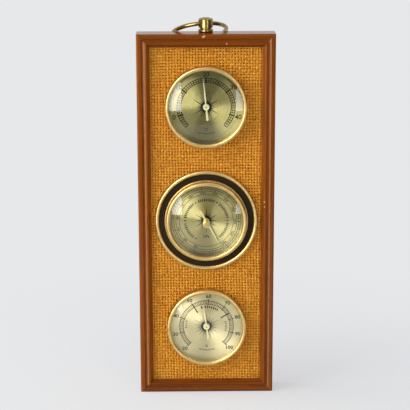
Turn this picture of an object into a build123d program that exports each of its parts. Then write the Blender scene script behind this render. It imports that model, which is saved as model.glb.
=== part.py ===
from build123d import *
import math
import os

os.makedirs("parts", exist_ok=True)

# A weather station of three round instruments on a framed jute panel.
# Millimetres and degrees. X runs to the viewer's right, Y to the back, Z up from the base.
# Angles on a dial run clockwise from its top, as the viewer sees it.

# Frame moulding
frame_width = 140.0
frame_height = 381.0
frame_depth = 28.0
rail_face_share = 0.0964
rail_wall = 8.5
edge_round = 1.6
band_width = 4.6
cove_width = 3.8
cove_sag = 1.4
bead_width = 2.2
bead_rise = 0.5
ogee_sag = 0.4
lip_drop = 3.4
lip_round = 1.2
lip_flat = 0.8
nail_inset = 3.0
nail_leg = 4.5
nail_thickness = 0.6
nail_depth = 9.0

# Panel in the frame
jute_thickness = 1.8
board_thickness = 4.0
board_gap = 0.4
brad_radius = 0.6
brad_length = 9.0
brad_bite = 4.5
brads_per_stile = 4

# Hanger on the top rail
post_inset = 8.0
post_turn = 14.0
foot_radius = 7.6
foot_height = 3.2
foot_bulge = 1.1
neck_radius = 5.8
neck_height = 1.4
drum_radius = 7.3
drum_height = 9.0
drum_edge = 0.6
cap_height = 1.4
eye_height = 9.0
eye_radius = 3.3
ring_radius = 27.8
wire_radius = 2.1
stud_radius = 2.0
stud_in_rail = 7.0
stud_in_post = 3.2
tilt_rounds = 36

# Parts that the three instruments share
thermometer_height_share = 0.8063
barometer_height_share = 0.49475
hygrometer_height_share = 0.19108
bezel_radius_share = 0.78868
bezel_wall = 1.0
roll_width = 4.3
spacer_height = 3.4
spacer_wall = 1.4
glass_thickness = 1.5
glass_rise = 4.0
dial_thickness = 0.8
case_radius_share = 0.82536
case_wall = 0.8
case_corner = 2.6
case_back_inset = 4.5
bracket_foot = 11.0
bracket_leg = 7.0
bracket_thickness = 1.2
bracket_arc = 15.0
bracket_angles = (30.0, 150.0, 270.0)
screw_radius = 1.1
screw_head_radius = 2.2
screw_head_height = 1.3
screw_bite = 3.0

# Hands
hand_gap = 1.5
hand_thickness = 0.5
hand_hub_radius = 3.1
hand_hub_height = 1.3
hand_length_share = 0.74163
hand_root_width = 1.2
hand_belly_width = 1.7
hand_tail_length = 14.0
hand_tail_width = 2.7
hand_belly_share = 0.35

# Coil movements of the thermometer and the hygrometer
arbor_radius = 0.75
eyelet_radius = 1.9
eyelet_collar = 0.5
bush_radius = 2.2
bush_collar_radius = 3.6
bush_collar = 1.2
collet_radius = 2.2
coil_setback = 3.5
coil_width = 5.0
coil_thickness = 0.5
coil_pitch = 2.2
coil_half_turns = 9
anchor_radius = 1.3
vent_count = 4
vent_radius_share = 0.6087
vent_width = 3.0
vent_length = 18.0
thermometer_reading = -5.7
hygrometer_reading = -7.7

# Barometer front
rim_gap = 3.5
rim_width = 4.2
rim_height = 4.2
rim_side = 2.3
web_thickness = 1.0
band_thickness = 1.4
bezel_foot_width = 1.2
bezel_foot_height = 3.6
bezel_foot_round = 0.7
barometer_reading = 151.0
barometer_hub_radius = 2.4
barometer_hand_width = 1.7
barometer_tail_length = 11.0
barometer_tail_width = 1.6
set_hand_gap = 1.0
set_hand_length_share = 0.70574
set_hand_tail_length = 13.0
set_hand_tail_width = 2.5
set_hub_radius = 3.0
spindle_radius = 1.2
spindle_collar_radius = 2.4
spindle_collar = 0.8
knob_radius = 3.7
knob_waist_radius = 3.1
knob_height = 9.0
knob_foot = 1.6
knob_dome = 1.2
knob_seat_gap = 0.3

# Aneroid movement in the barometer
plate_radius_share = 0.8986
plate_thickness = 1.2
pillar_radius = 2.4
pillar_height_share = 0.0838
pillar_rivet_radius = 1.2
pillar_circle_share = 0.871
capsule_radius_share = 0.4516
capsule_height_share = 0.2304
capsule_rib = 0.5
capsule_ribs = 3
capsule_boss_radius = 3.0
capsule_boss = 0.6
capsule_stem_radius = 1.2
stem_head_radius = 2.2
stem_head = 0.8
leaf_lift_share = 0.0576
leaf_thickness = 0.8
leaf_width = 12.0
leaf_overhang = 9.0
block_place_share = 0.7419
block_length = 9.0
block_width = 12.0
block_foot = 2.6
block_wall = 3.0
lever_thickness = 0.8
lever_width = 3.6
lever_start = 4.0
rocker_place_share = 0.7742
rocker_radius = 0.8
rocker_length = 20.0
rocker_arm_width = 2.0
rocker_arm_thickness = 0.8
crank_length = 3.2
crank_gap = 0.5
rocker_ratio = 0.134
cradle_base = 1.2
cradle_width = 5.0
cradle_ear = 1.2
cradle_rise = 2.0
drum_front_gap = 0.4
chain_drum_radius = 0.5
chain_drum_length = 1.6
chain_radius = 0.2
hand_pivot_radius = 0.4
hairspring_height = 0.6
hairspring_thickness = 0.2
hairspring_pitch = 1.0
hairspring_half_turns = 8
hairspring_collet_radius = 1.0
hairspring_collet = 1.0
bridge_thickness = 1.0
bridge_width = 6.0
bridge_post_place_share = 0.6452
bridge_post_radius = 1.8
stud_pin_radius = 0.5
adjuster_head_radius = 2.4
adjuster_head = 1.0
adjuster_shank_radius = 1.2
adjuster_bite = 2.0
adjuster_slot = 0.6
adjuster_slot_depth = 0.5

# Clearances
fit_gap = 0.1
running_gap = 0.06
rest_gap = 0.3
bore_gap = 0.4
overrun = 1.0

# Sizes in the plane of the panel, from the frame inwards
rail_face = frame_width * rail_face_share
rim_radius = frame_width / 2 - rail_face - rim_gap
bezel_radius = rim_radius * bezel_radius_share
case_radius = bezel_radius * case_radius_share
hand_length = bezel_radius * hand_length_share
set_hand_length = bezel_radius * set_hand_length_share
vent_radius = case_radius * vent_radius_share
plate_radius = case_radius * plate_radius_share
pillar_circle = plate_radius * pillar_circle_share
capsule_radius = plate_radius * capsule_radius_share
block_place = plate_radius * block_place_share
rocker_place = plate_radius * rocker_place_share
bridge_post_place = plate_radius * bridge_post_place_share
thermometer_height = frame_height * thermometer_height_share
barometer_height = frame_height * barometer_height_share
hygrometer_height = frame_height * hygrometer_height_share

# Planes that the pieces share, from the front of the bead backwards
front = -frame_depth / 2
back = frame_depth / 2
jute_front = front + lip_drop + lip_round + lip_flat
board_front = jute_front + jute_thickness
board_back = board_front + board_thickness
case_back = back - case_back_inset
case_floor = case_back - case_wall
bore_radius = case_radius + bore_gap
roll_radius = roll_width / 2
roll_middle = bezel_radius - roll_radius
glass_radius = bezel_radius - bezel_wall - fit_gap
lip_radius = bezel_radius - roll_width
barometer_seat = jute_front - web_thickness


def keep(piece, label):
    """Name a finished piece and write it out."""
    piece.part.label = label
    export_step(piece.part, f"parts/{label}.step")


def facing(depth, height, across=0.0, turn=0.0):
    """A plane towards the viewer at a depth, its Y axis turned clockwise from up."""
    swing = math.radians(turn)
    return Plane(
        origin=(across, depth, height),
        x_dir=(math.cos(swing), 0, -math.sin(swing)),
        z_dir=(0, -1, 0),
    )


def turning(height, across=0.0):
    """A plane of radius and depth, for shapes turned about a line from front to back."""
    return Plane(origin=(across, 0, height), x_dir=(1, 0, 0), z_dir=(0, 0, 1))


def depth_axis(height, across=0.0):
    return Axis((across, 0, height), (0, 1, 0))


def dial_back(seat):
    return seat - case_wall


def dial_front(seat):
    return dial_back(seat) - dial_thickness


def glass_back(seat):
    return dial_front(seat) - spacer_height


def glass_edge(seat):
    return glass_back(seat) - glass_thickness


# Corner fasteners, pressed into the back across each mitre
with BuildPart() as corner_nails:
    with BuildSketch(facing(back, 0)):
        for side in (-1, 1):
            for level, rise in ((0, 1), (frame_height, -1)):
                outer_x = side * (frame_width / 2 - nail_inset)
                outer_z = level + rise * nail_inset
                thick_x = outer_x - side * nail_thickness
                thick_z = outer_z + rise * nail_thickness
                end_x = outer_x - side * nail_leg
                end_z = outer_z + rise * nail_leg
                with BuildLine():
                    Polyline(
                        (outer_x, outer_z),
                        (end_x, outer_z),
                        (end_x, thick_z),
                        (thick_x, thick_z),
                        (thick_x, end_z),
                        (outer_x, end_z),
                        close=True,
                    )
                make_face()
    extrude(amount=nail_depth)
keep(corner_nails, "corner_nails")

# Brads in the stiles that hold the panel against the frame's lip
brad_step = frame_height / brads_per_stile
with BuildPart() as panel_brads:
    for side in (-1, 1):
        start = side * (frame_width / 2 - rail_wall + brad_bite)
        for row in range(brads_per_stile):
            level = brad_step * row + brad_step / 2
            place = Plane(origin=(start, board_back + brad_radius, level), z_dir=(-side, 0, 0))
            with BuildSketch(place):
                Circle(brad_radius)
            extrude(amount=brad_length)
keep(panel_brads, "panel_brads")

# Hanger: a turned post on a stud, with an eye through it for the ring
post_y = back - post_inset
drum_bottom = foot_height + neck_height
drum_top = drum_bottom + drum_height
eye_line = Vector(math.cos(math.radians(post_turn)), math.sin(math.radians(post_turn)), 0)
fall_line = Vector(-eye_line.Y, eye_line.X, 0)
eye_middle = Vector(0, post_y, frame_height + eye_height)

with BuildPart() as hanger_stud:
    with BuildSketch(Plane(origin=(0, post_y, frame_height - stud_in_rail))):
        Circle(stud_radius)
    extrude(amount=stud_in_rail + stud_in_post)
keep(hanger_stud, "hanger_stud")

with BuildPart() as hanger_post:
    with BuildSketch(facing(post_y, frame_height)):
        with BuildLine():
            foot_seat = foot_radius - foot_bulge
            Line((0, 0), (foot_seat, 0))
            ThreePointArc((foot_seat, 0), (foot_radius, foot_height / 2), (foot_seat, foot_height))
            Polyline(
                (foot_seat, foot_height),
                (neck_radius, foot_height),
                (neck_radius, drum_bottom),
                (drum_radius - drum_edge, drum_bottom),
                (drum_radius, drum_bottom + drum_edge),
                (drum_radius, drum_top - drum_edge),
                (drum_radius - drum_edge, drum_top),
            )
            cap_middle = (0, drum_top + cap_height)
            ThreePointArc(
                (drum_radius - drum_edge, drum_top),
                cap_middle,
                (drum_edge - drum_radius, drum_top),
            )
            Line((drum_edge - drum_radius, drum_top), (0, drum_top))
            Line((0, drum_top), (0, 0))
        make_face()
        with Locations((-drum_radius, drum_top)):
            Rectangle(2 * drum_radius, 2 * drum_height, mode=Mode.SUBTRACT)
    revolve(axis=Axis((0, post_y, 0), (0, 0, 1)))
    with BuildSketch(Plane(origin=eye_middle, z_dir=eye_line)):
        Circle(eye_radius)
    extrude(amount=drum_radius + overrun, both=True, mode=Mode.SUBTRACT)
    add(hanger_stud.part, mode=Mode.SUBTRACT)
keep(hanger_post, "hanger_post")


def resting_tilt():
    """The slope at which the ring leans back until its left arm meets the frame's edge."""
    tilt = math.radians(post_turn)
    for _ in range(tilt_rounds):
        along = post_inset / fall_line.Y
        for _ in range(tilt_rounds):
            reach = along / math.cos(tilt)
            spread = math.sqrt(max(ring_radius**2 - (reach - ring_radius) ** 2, 0))
            along = (post_inset + spread * eye_line.Y) / fall_line.Y
        drop = eye_height - (wire_radius + rest_gap) / math.cos(tilt)
        tilt = math.atan2(drop, along)
    return tilt


ring_tilt = resting_tilt()
ring_reach = fall_line * math.cos(ring_tilt) - Vector(0, 0, math.sin(ring_tilt))
ring_middle = eye_middle + ring_reach * ring_radius
with BuildPart(Plane(origin=ring_middle, x_dir=eye_line, z_dir=eye_line.cross(ring_reach))) as hanger_ring:
    Torus(ring_radius, wire_radius)
keep(hanger_ring, "hanger_ring")


def make_rail(label, corner, inward, length):
    """A length of moulding from one outer corner, cut to a mitre at both ends."""
    along = inward.cross(Vector(0, 1, 0))
    bead_start = band_width + cove_width
    bead_end = bead_start + bead_width
    lip_start = (rail_face - lip_round, front + lip_drop)
    lip_end = (rail_face, front + lip_drop + lip_round)
    crest = front + bead_rise
    with BuildPart() as rail:
        with BuildSketch(Plane(origin=corner, x_dir=inward, z_dir=along)):
            with BuildLine():
                Line((0, back), (0, crest + edge_round))
                RadiusArc((0, crest + edge_round), (edge_round, crest), edge_round)
                Line((edge_round, crest), (band_width, crest))
                ThreePointArc(
                    (band_width, crest),
                    (band_width + cove_width / 2, crest + cove_sag),
                    (bead_start, crest),
                )
                ThreePointArc((bead_start, crest), (bead_start + bead_width / 2, front), (bead_end, crest))
                SagittaArc((bead_end, crest), lip_start, ogee_sag)
                RadiusArc(lip_start, lip_end, lip_round)
                Polyline(
                    lip_end,
                    (rail_face, jute_front),
                    (rail_wall, jute_front),
                    (rail_wall, back),
                    (0, back),
                )
            make_face()
        extrude(amount=length)
        far_corner = corner + along * length
        split(bisect_by=Plane(origin=corner, z_dir=along - inward), keep=Keep.TOP)
        split(bisect_by=Plane(origin=far_corner, z_dir=-along - inward), keep=Keep.TOP)
        for fastener in (corner_nails, panel_brads, hanger_stud):
            add(fastener.part, mode=Mode.SUBTRACT)
    keep(rail, label)


half_width = frame_width / 2
make_rail("left_stile", Vector(-half_width, 0, 0), Vector(1, 0, 0), frame_height)
make_rail("right_stile", Vector(half_width, 0, frame_height), Vector(-1, 0, 0), frame_height)
make_rail("bottom_rail", Vector(half_width, 0, 0), Vector(0, 0, 1), frame_width)
make_rail("top_rail", Vector(-half_width, 0, frame_height), Vector(0, 0, -1), frame_width)

# Panel: a jute cloth on a hardboard, both bored for the three cases
instrument_heights = (thermometer_height, barometer_height, hygrometer_height)
panel_width = frame_width - 2 * (rail_wall + board_gap)
panel_height = frame_height - 2 * (rail_wall + board_gap)


def bracket_hole(angle):
    """The place of a bracket's screw, from the middle of its instrument."""
    reach = case_radius + bracket_thickness + bracket_foot / 2
    return reach * math.cos(math.radians(angle)), reach * math.sin(math.radians(angle))


def make_sheet(label, face, thickness, screws):
    with BuildPart() as sheet:
        with BuildSketch(facing(face + thickness, frame_height / 2)):
            Rectangle(panel_width, panel_height)
            for height in instrument_heights:
                with Locations((0, height - frame_height / 2)):
                    Circle(bore_radius, mode=Mode.SUBTRACT)
        extrude(amount=thickness)
        if screws is not None:
            add(screws.part, mode=Mode.SUBTRACT)
    keep(sheet, label)


with BuildPart() as bracket_screws:
    for height in instrument_heights:
        for angle in bracket_angles:
            across, rise = bracket_hole(angle)
            neck = board_back + bracket_thickness
            with BuildSketch(turning(height + rise, across)):
                with BuildLine():
                    Polyline(
                        (0, board_back - screw_bite),
                        (screw_radius, board_back - screw_bite + screw_radius),
                        (screw_radius, neck),
                        (screw_head_radius, neck),
                        (screw_radius, neck + screw_head_height),
                        (0, neck + screw_head_height),
                        close=True,
                    )
                make_face()
            revolve(axis=depth_axis(height + rise, across))
keep(bracket_screws, "bracket_screws")

make_sheet("jute_cloth", jute_front, jute_thickness, None)
make_sheet("back_board", board_front, board_thickness, bracket_screws)


def make_brackets(name, height):
    """Angle brackets that hold a case to the back of the board."""
    with BuildPart() as brackets:
        for angle in bracket_angles:
            start = math.radians(angle + bracket_arc / 2)
            radial = (math.cos(start), 0, math.sin(start))
            normal = (-math.sin(start), 0, math.cos(start))
            inner = case_radius + fit_gap
            with BuildSketch(Plane(origin=(0, 0, height), x_dir=radial, z_dir=normal)):
                with BuildLine():
                    Polyline(
                        (inner, board_back),
                        (inner + bracket_thickness + bracket_foot, board_back),
                        (inner + bracket_thickness + bracket_foot, board_back + bracket_thickness),
                        (inner + bracket_thickness, board_back + bracket_thickness),
                        (inner + bracket_thickness, board_back + bracket_leg),
                        (inner, board_back + bracket_leg),
                        close=True,
                    )
                make_face()
            revolve(axis=depth_axis(height), revolution_arc=bracket_arc)
        add(bracket_screws.part, mode=Mode.SUBTRACT)
    keep(brackets, f"{name}_brackets")


def make_bezel(name, height, seat, foot):
    """A rolled brass ring over the glass, with an outer foot on the barometer."""
    edge = glass_edge(seat)
    wall_radius = bezel_radius - bezel_wall
    with BuildPart() as bezel:
        with BuildSketch(turning(height)):
            with BuildLine():
                Line((wall_radius, seat), (bezel_radius, seat))
                Line((bezel_radius, seat), (bezel_radius, edge))
                ThreePointArc((bezel_radius, edge), (roll_middle, edge - roll_radius), (lip_radius, edge))
                Line((lip_radius, edge), (lip_radius + bezel_wall, edge))
                ThreePointArc(
                    (lip_radius + bezel_wall, edge),
                    (roll_middle, edge - roll_radius + bezel_wall),
                    (wall_radius, edge),
                )
                Line((wall_radius, edge), (wall_radius, seat))
            make_face()
            if foot:
                foot_front = seat - bezel_foot_height
                foot_edge_radius = bezel_radius + bezel_foot_width
                with BuildLine():
                    Line((bezel_radius, seat), (foot_edge_radius, seat))
                    Line((foot_edge_radius, seat), (foot_edge_radius, foot_front + bezel_foot_round))
                    ThreePointArc(
                        (foot_edge_radius, foot_front + bezel_foot_round),
                        (foot_edge_radius - bezel_foot_width / 2, foot_front),
                        (bezel_radius, foot_front + bezel_foot_round),
                    )
                    Line((bezel_radius, foot_front + bezel_foot_round), (bezel_radius, seat))
                make_face()
        revolve(axis=depth_axis(height))
    keep(bezel, f"{name}_bezel")


def make_glass(name, height, seat, bore):
    """A domed glass with a flat rim under the bezel's lip."""
    edge = glass_edge(seat)
    rim = glass_back(seat)
    dome_radius = lip_radius - fit_gap
    with BuildPart() as glass:
        with BuildSketch(turning(height)):
            with BuildLine():
                Polyline((dome_radius, edge), (glass_radius, edge), (glass_radius, rim), (dome_radius, rim))
                ThreePointArc((dome_radius, rim), (0, rim - glass_rise), (-dome_radius, rim))
                Line((-dome_radius, rim), (-dome_radius, edge))
                ThreePointArc((-dome_radius, edge), (0, edge - glass_rise), (dome_radius, edge))
            make_face()
            with Locations((bore / 2 - bezel_radius / 2, edge)):
                Rectangle(bezel_radius + bore, 2 * bezel_radius, mode=Mode.SUBTRACT)
        revolve(axis=depth_axis(height))
    keep(glass, f"{name}_glass")


def make_spacer(name, height, seat):
    """A ring that holds the glass off the dial."""
    with BuildPart() as spacer:
        with BuildSketch(facing(dial_front(seat), height)):
            Circle(glass_radius)
            Circle(glass_radius - spacer_wall, mode=Mode.SUBTRACT)
        extrude(amount=spacer_height)
    keep(spacer, f"{name}_spacer")


def make_dial(name, height, seat):
    with BuildPart() as dial:
        with BuildSketch(facing(dial_back(seat), height)):
            Circle(glass_radius)
            Circle(eyelet_radius, mode=Mode.SUBTRACT)
        extrude(amount=dial_thickness)
    keep(dial, f"{name}_dial")


def make_case(name, height, seat, bored):
    """A spun cup behind the panel, its rim on the cloth and its floor bored as given."""
    inner = case_radius - case_wall
    with BuildPart() as case:
        with BuildSketch(turning(height)):
            with BuildLine():
                Line((0, case_back), (case_radius - case_corner, case_back))
                RadiusArc(
                    (case_radius - case_corner, case_back),
                    (case_radius, case_back - case_corner),
                    case_corner,
                )
                Polyline(
                    (case_radius, case_back - case_corner),
                    (case_radius, seat),
                    (glass_radius, seat),
                    (glass_radius, dial_back(seat)),
                    (inner, dial_back(seat)),
                    (inner, case_back - case_corner),
                )
                RadiusArc(
                    (inner, case_back - case_corner),
                    (case_radius - case_corner, case_floor),
                    case_wall - case_corner,
                )
                Polyline((case_radius - case_corner, case_floor), (0, case_floor), (0, case_back))
            make_face()
        revolve(axis=depth_axis(height))
        for piece in bored:
            add(piece, mode=Mode.SUBTRACT)
    keep(case, f"{name}_case")


def make_vents(height):
    """Air slots and a bush hole for the floor of a coil instrument's case."""
    with BuildPart() as vents:
        with BuildSketch(facing(case_back + overrun, height)):
            Circle(bush_radius)
            with PolarLocations(vent_radius, vent_count):
                SlotOverall(vent_length, vent_width, rotation=90)
        extrude(amount=case_wall + 2 * overrun)
    return vents.part


def hand_outline(plane, length, root, belly, tail, tail_width):
    """A lance-shaped hand along its plane's Y axis, with a round-ended tail."""
    belly_at = length * hand_belly_share
    tail_shoulder = tail_width / 2 - tail
    with BuildSketch(plane) as outline:
        with BuildLine():
            Polyline(
                (tail_width / 2, tail_shoulder),
                (root / 2, 0),
                (belly / 2, belly_at),
                (0, length),
                (-belly / 2, belly_at),
                (-root / 2, 0),
                (-tail_width / 2, tail_shoulder),
            )
            ThreePointArc((-tail_width / 2, tail_shoulder), (0, -tail), (tail_width / 2, tail_shoulder))
        make_face()
    return outline.sketch


def make_bushes(name, height, seat):
    """The eyelet in the dial and the flanged bush in the case floor."""
    bore = arbor_radius + running_gap
    rear = dial_back(seat)
    with BuildPart() as bushes:
        with BuildSketch(facing(rear + eyelet_collar, height)):
            Circle(eyelet_radius + eyelet_collar)
            Circle(bore, mode=Mode.SUBTRACT)
        extrude(amount=eyelet_collar)
        with BuildSketch(facing(rear, height)):
            Circle(eyelet_radius)
            Circle(bore, mode=Mode.SUBTRACT)
        extrude(amount=dial_thickness)
        with BuildSketch(facing(case_back, height)):
            Circle(bush_radius)
            Circle(bore, mode=Mode.SUBTRACT)
        extrude(amount=case_wall)
        with BuildSketch(facing(case_floor, height)):
            Circle(bush_collar_radius)
            Circle(bore, mode=Mode.SUBTRACT)
        extrude(amount=bush_collar)
    keep(bushes, f"{name}_bushes")


def spiral_end(inner, pitch, half_turns):
    """Where the outer end of a spiral of half circles crosses its plane's X axis."""
    last = half_turns - 1
    radius = inner + pitch / 2 * last
    return pitch / 2 + radius if last % 2 else -radius


def spiral_strip(plane, inner, pitch, half_turns, thickness):
    """The outline of a flat spiral strip, in half circles about two middles."""
    step = pitch / 2
    end = spiral_end(inner, pitch, half_turns)
    with BuildSketch(plane) as strip:
        with BuildLine():
            for half in range(half_turns):
                middle = (step * (half % 2), 0)
                radius = inner + step * half
                CenterArc(middle, radius - thickness / 2, 180 * (half % 2), 180)
                CenterArc(middle, radius + thickness / 2, 180 * (half % 2), 180)
            Line((inner - thickness / 2, 0), (inner + thickness / 2, 0))
            Line((end - thickness / 2, 0), (end + thickness / 2, 0))
        make_face()
    return strip.sketch


def make_coil_movement(name, height, seat, reading):
    """The bushes, coil, anchor, arbor and hand of the thermometer or the hygrometer."""
    coil_front = dial_back(seat) + coil_setback
    coil_back = coil_front + coil_width
    make_bushes(name, height, seat)

    start = collet_radius + fit_gap + coil_thickness / 2
    strip = spiral_strip(facing(coil_back, height), start, coil_pitch, coil_half_turns, coil_thickness)
    with BuildPart() as coil:
        extrude(strip, amount=coil_width)
    keep(coil, f"{name}_coil")

    end = spiral_end(start, coil_pitch, coil_half_turns)
    side = math.copysign(1, end)
    with BuildPart() as anchor:
        anchor_at = end + side * (coil_thickness / 2 + fit_gap + anchor_radius)
        with BuildSketch(facing(case_floor, height, anchor_at)):
            Circle(anchor_radius)
        extrude(amount=case_floor - coil_front)
    keep(anchor, f"{name}_anchor")

    hub_back = dial_front(seat) - hand_gap
    outline = hand_outline(
        facing(hub_back, height, turn=reading),
        hand_length,
        hand_root_width,
        hand_belly_width,
        hand_tail_length,
        hand_tail_width,
    )
    with BuildPart() as arbor:
        with BuildSketch(facing(case_back, height)):
            Circle(arbor_radius)
        extrude(amount=case_back - hub_back + hand_hub_height)
        with BuildSketch(facing(coil_back, height)):
            Circle(collet_radius)
        extrude(amount=coil_width)
    keep(arbor, f"{name}_arbor")

    with BuildPart() as hand:
        extrude(outline, amount=hand_thickness)
        with BuildSketch(facing(hub_back, height)):
            Circle(hand_hub_radius)
        extrude(amount=hand_hub_height)
        add(arbor.part, mode=Mode.SUBTRACT)
    keep(hand, f"{name}_hand")

    make_case(name, height, seat, [make_vents(height)])


# Barometer movement, from the case floor forwards
barometer_dial_back = dial_back(barometer_seat)
movement_depth = case_floor - barometer_dial_back
pillar_height = movement_depth * pillar_height_share
capsule_height = movement_depth * capsule_height_share
leaf_lift = movement_depth * leaf_lift_share
plate_back = case_floor - pillar_height
plate_front = plate_back - plate_thickness
capsule_back = plate_front - capsule_boss
capsule_front = capsule_back - capsule_height
leaf_back = capsule_front - leaf_lift
leaf_front = leaf_back - leaf_thickness
lever_front = leaf_front - lever_thickness
drum_front = barometer_dial_back + eyelet_collar + drum_front_gap
drum_back = drum_front + chain_drum_length
chain_depth = (drum_front + drum_back) / 2
bridge_front = drum_back + hairspring_collet
bridge_back = bridge_front + bridge_thickness
rocker_turn = math.radians(-rocker_ratio * barometer_reading)
crank_tip_depth = lever_front - crank_gap - rocker_arm_thickness / 2
rocker_depth = crank_tip_depth + crank_length * math.sin(rocker_turn)
arm_length = (rocker_depth - chain_depth) / math.cos(rocker_turn)
lever_end = rocker_place - crank_length * math.cos(rocker_turn) + rocker_arm_thickness / 2


def movement_plane(depth, across=0.0, rise=0.0):
    return facing(depth, barometer_height + rise, across)


def pillar_places():
    for angle in bracket_angles:
        swing = math.radians(angle)
        yield pillar_circle * math.cos(swing), pillar_circle * math.sin(swing)


with BuildPart() as movement_pillars:
    for across, rise in pillar_places():
        with BuildSketch(movement_plane(case_floor, across, rise)):
            Circle(pillar_radius)
        extrude(amount=pillar_height)
        with BuildSketch(movement_plane(case_back, across, rise)):
            Circle(pillar_rivet_radius)
        extrude(amount=case_back - plate_front)
keep(movement_pillars, "movement_pillars")

with BuildPart() as adjusting_screw:
    with BuildSketch(movement_plane(plate_back + adjuster_head, -block_place)):
        Circle(adjuster_head_radius)
    extrude(amount=adjuster_head)
    with BuildSketch(movement_plane(plate_back + adjuster_head, -block_place)):
        Rectangle(2 * adjuster_head_radius + overrun, adjuster_slot)
    extrude(amount=adjuster_slot_depth, mode=Mode.SUBTRACT)
    with BuildSketch(movement_plane(plate_back, -block_place)):
        Circle(adjuster_shank_radius)
    extrude(amount=plate_thickness + adjuster_bite)
keep(adjusting_screw, "adjusting_screw")

with BuildPart() as aneroid_capsule:
    with BuildSketch(turning(barometer_height)):
        rib_pitch = (capsule_radius - capsule_boss_radius) / capsule_ribs
        with BuildLine():
            Line((0, plate_back), (capsule_stem_radius, plate_back))
            Polyline(
                (capsule_stem_radius, plate_back),
                (capsule_stem_radius, plate_front),
                (capsule_boss_radius, plate_front),
                (capsule_boss_radius, capsule_back),
            )
            for rib in range(capsule_ribs):
                near = capsule_boss_radius + rib_pitch * rib
                far = near + rib_pitch
                bulge = capsule_rib * (1 if rib % 2 else -1)
                crest = near + rib_pitch / 2
                ThreePointArc((near, capsule_back), (crest, capsule_back + bulge), (far, capsule_back))
                ThreePointArc((near, capsule_front), (crest, capsule_front - bulge), (far, capsule_front))
            Line((capsule_radius, capsule_back), (capsule_radius, capsule_front))
            Polyline(
                (capsule_boss_radius, capsule_front),
                (capsule_stem_radius, capsule_front),
                (capsule_stem_radius, leaf_front),
                (stem_head_radius, leaf_front),
                (stem_head_radius, leaf_front - stem_head),
                (0, leaf_front - stem_head),
                (0, plate_back),
            )
        make_face()
    revolve(axis=depth_axis(barometer_height))
keep(aneroid_capsule, "aneroid_capsule")

with BuildPart() as spring_block:
    with BuildSketch(movement_plane(plate_front, -block_place)):
        Rectangle(block_length, block_width)
    extrude(amount=block_foot)
    wall_middle = -block_place - (block_length - block_wall) / 2
    with BuildSketch(movement_plane(plate_front, wall_middle)):
        Rectangle(block_wall, block_width)
    extrude(amount=plate_front - leaf_back)
    with BuildSketch(movement_plane(plate_front, -block_place)):
        Circle(adjuster_shank_radius + running_gap)
    extrude(amount=adjuster_bite + fit_gap, mode=Mode.SUBTRACT)
keep(spring_block, "spring_block")

with BuildPart() as main_spring:
    leaf_start = -block_place - block_length / 2
    leaf_end = leaf_overhang
    with BuildSketch(movement_plane(leaf_back, (leaf_start + leaf_end) / 2)):
        Rectangle(leaf_end - leaf_start, leaf_width)
    extrude(amount=leaf_thickness)
    with BuildSketch(movement_plane(leaf_back)):
        Circle(capsule_stem_radius)
    extrude(amount=leaf_thickness, mode=Mode.SUBTRACT)
keep(main_spring, "main_spring")

with BuildPart() as main_lever:
    with BuildSketch(movement_plane(leaf_front, (lever_start + lever_end) / 2)):
        Rectangle(lever_end - lever_start, lever_width)
    extrude(amount=lever_thickness)
keep(main_lever, "main_lever")

with BuildPart() as rocker:
    with BuildSketch(Plane(origin=(rocker_place, rocker_depth, barometer_height - rocker_length / 2))):
        Circle(rocker_radius)
    extrude(amount=rocker_length)
    crank_away = Vector(-math.cos(rocker_turn), -math.sin(rocker_turn), 0)
    arm_away = Vector(math.sin(rocker_turn), -math.cos(rocker_turn), 0)
    for away, reach, level in (
        (crank_away, crank_length, 0),
        (arm_away, arm_length, -chain_drum_radius - chain_radius),
    ):
        root = Vector(rocker_place, rocker_depth, barometer_height + level)
        with BuildSketch(Plane(origin=root, x_dir=Vector(0, 0, 1).cross(away), z_dir=away)):
            Rectangle(rocker_arm_thickness, rocker_arm_width)
        extrude(amount=reach)
keep(rocker, "rocker")

with BuildPart() as rocker_cradle:
    ear_middle = rocker_length / 2 - cradle_ear / 2 - fit_gap
    with BuildSketch(movement_plane(plate_front, rocker_place)):
        Rectangle(cradle_width, rocker_length)
    extrude(amount=cradle_base)
    for side in (-1, 1):
        with BuildSketch(movement_plane(plate_front, rocker_place, side * ear_middle)):
            Rectangle(cradle_width, cradle_ear)
        extrude(amount=plate_front - rocker_depth + cradle_rise)
    with BuildSketch(Plane(origin=(rocker_place, rocker_depth, barometer_height))):
        Circle(rocker_radius + running_gap)
    extrude(amount=rocker_length, both=True, mode=Mode.SUBTRACT)
keep(rocker_cradle, "rocker_cradle")

with BuildPart() as chain:
    chain_end = rocker_place + arm_length * math.sin(rocker_turn) - rocker_arm_thickness
    chain_level = barometer_height - chain_drum_radius - chain_radius - fit_gap
    with BuildSketch(Plane(origin=(0, chain_depth, chain_level), z_dir=(1, 0, 0))):
        Circle(chain_radius)
    extrude(amount=chain_end)
keep(chain, "chain")

with BuildPart() as hand_bridge:
    with BuildSketch(movement_plane(bridge_back)):
        Rectangle(bridge_width, 2 * (bridge_post_place + bridge_post_radius))
        Circle(hand_pivot_radius + running_gap, mode=Mode.SUBTRACT)
    extrude(amount=bridge_thickness)
    for side in (-1, 1):
        with BuildSketch(movement_plane(plate_front, rise=side * bridge_post_place)):
            Circle(bridge_post_radius)
        extrude(amount=plate_front - bridge_back)
    spring_start = hairspring_collet_radius + fit_gap + hairspring_thickness / 2
    spring_reach = spiral_end(spring_start, hairspring_pitch, hairspring_half_turns)
    stud_at = spring_reach + hairspring_thickness / 2 + fit_gap + stud_pin_radius
    with BuildSketch(movement_plane(bridge_back, stud_at)):
        SlotOverall(2 * stud_at, bridge_width / 2)
        with Locations((-stud_at, 0)):
            Circle(hand_pivot_radius + running_gap, mode=Mode.SUBTRACT)
    extrude(amount=bridge_thickness)
    with BuildSketch(movement_plane(bridge_front, stud_at)):
        Circle(stud_pin_radius)
    extrude(amount=hairspring_height + fit_gap)
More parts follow.
